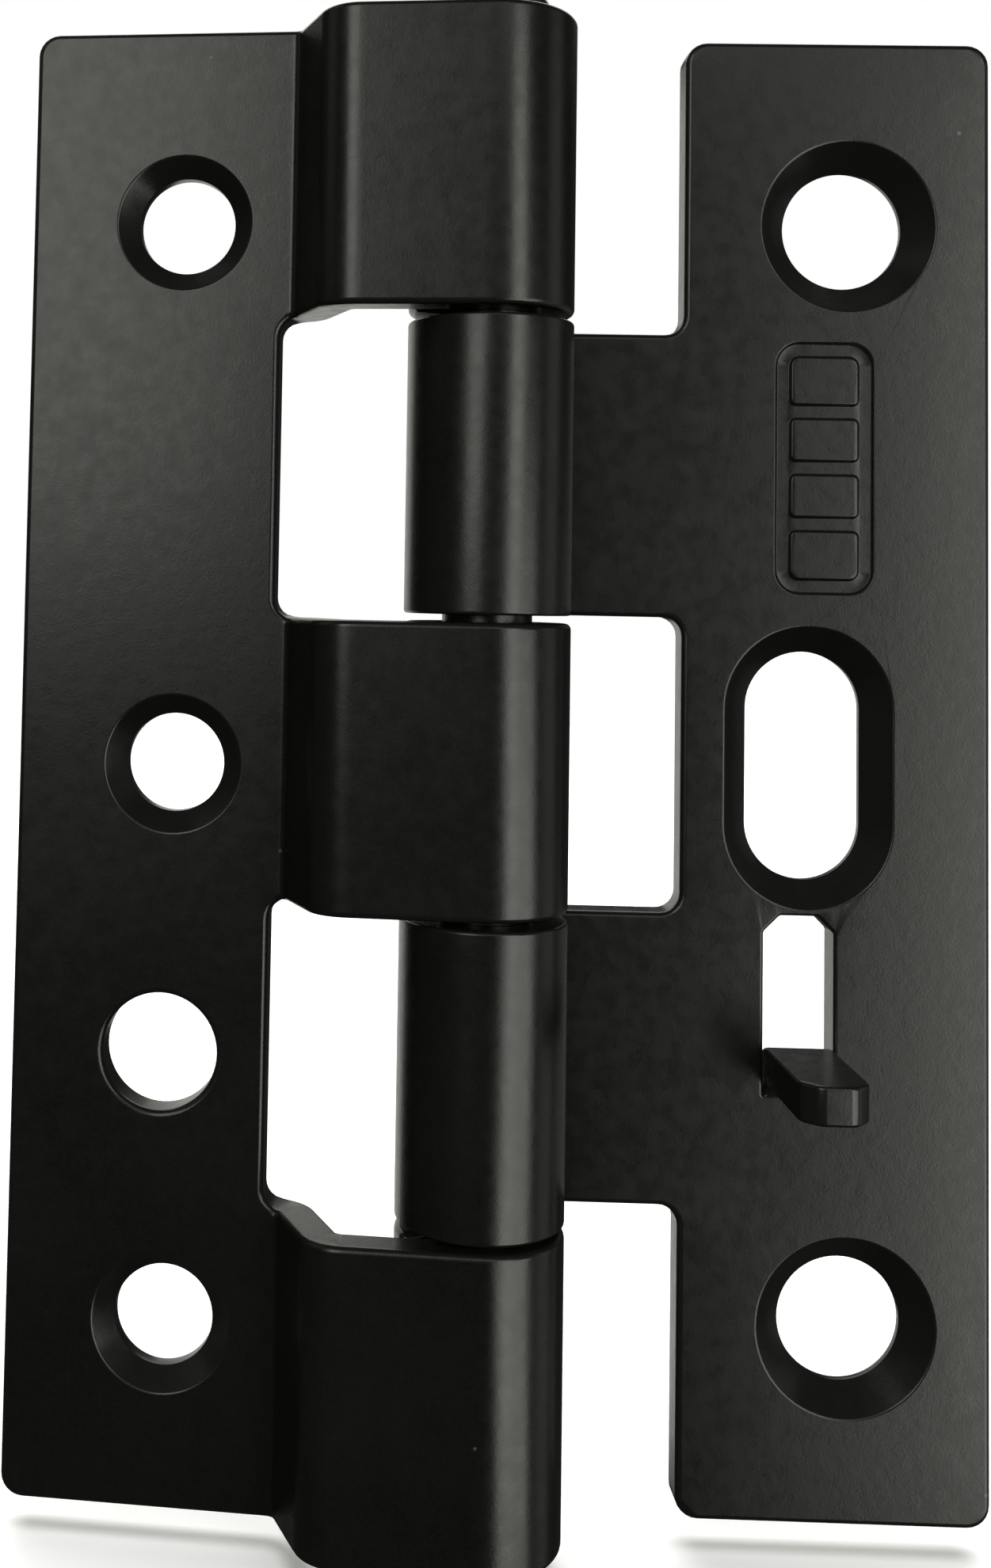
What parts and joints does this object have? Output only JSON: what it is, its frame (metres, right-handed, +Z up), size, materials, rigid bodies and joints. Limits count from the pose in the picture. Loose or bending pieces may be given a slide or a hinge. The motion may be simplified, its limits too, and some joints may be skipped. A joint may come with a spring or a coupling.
{
  "type": "door hinge",
  "caption": "Door hinge with a flat leaf and a cranked leaf rolled round a fixed pin, countersunk screw holes, an adjusting slot and a lanced interlock tab, satin black.",
  "frame": {"origin": "middle of the flat leaf's two screw holes, on the back face that seats on the door frame", "axes": "+Z up along the pin; +X across the flat leaf, away from the pin; -Y out of the countersunk faces, the way the screws leave"},
  "size_m": [0.0661, 0.0119, 0.104],
  "materials": {
    "leaf_coat": "satin black powder coat over pressed steel",
    "pin_coat": "satin black coat over a peened steel pin"
  },
  "bodies": {
    "jamb_side": {"flat_leaf": "leaf_coat"},
    "door_side": {"cranked_leaf": "leaf_coat", "hinge_pin": "pin_coat"}
  },
  "joints": [
    {"name": "hinge_swing", "type": "hinge", "parent": "jamb_side", "child": "door_side", "pos_m": [-0.0248, -0.00555, 0], "axis": [0, 0, 1], "range_deg": [-135, 185]}
  ]
}
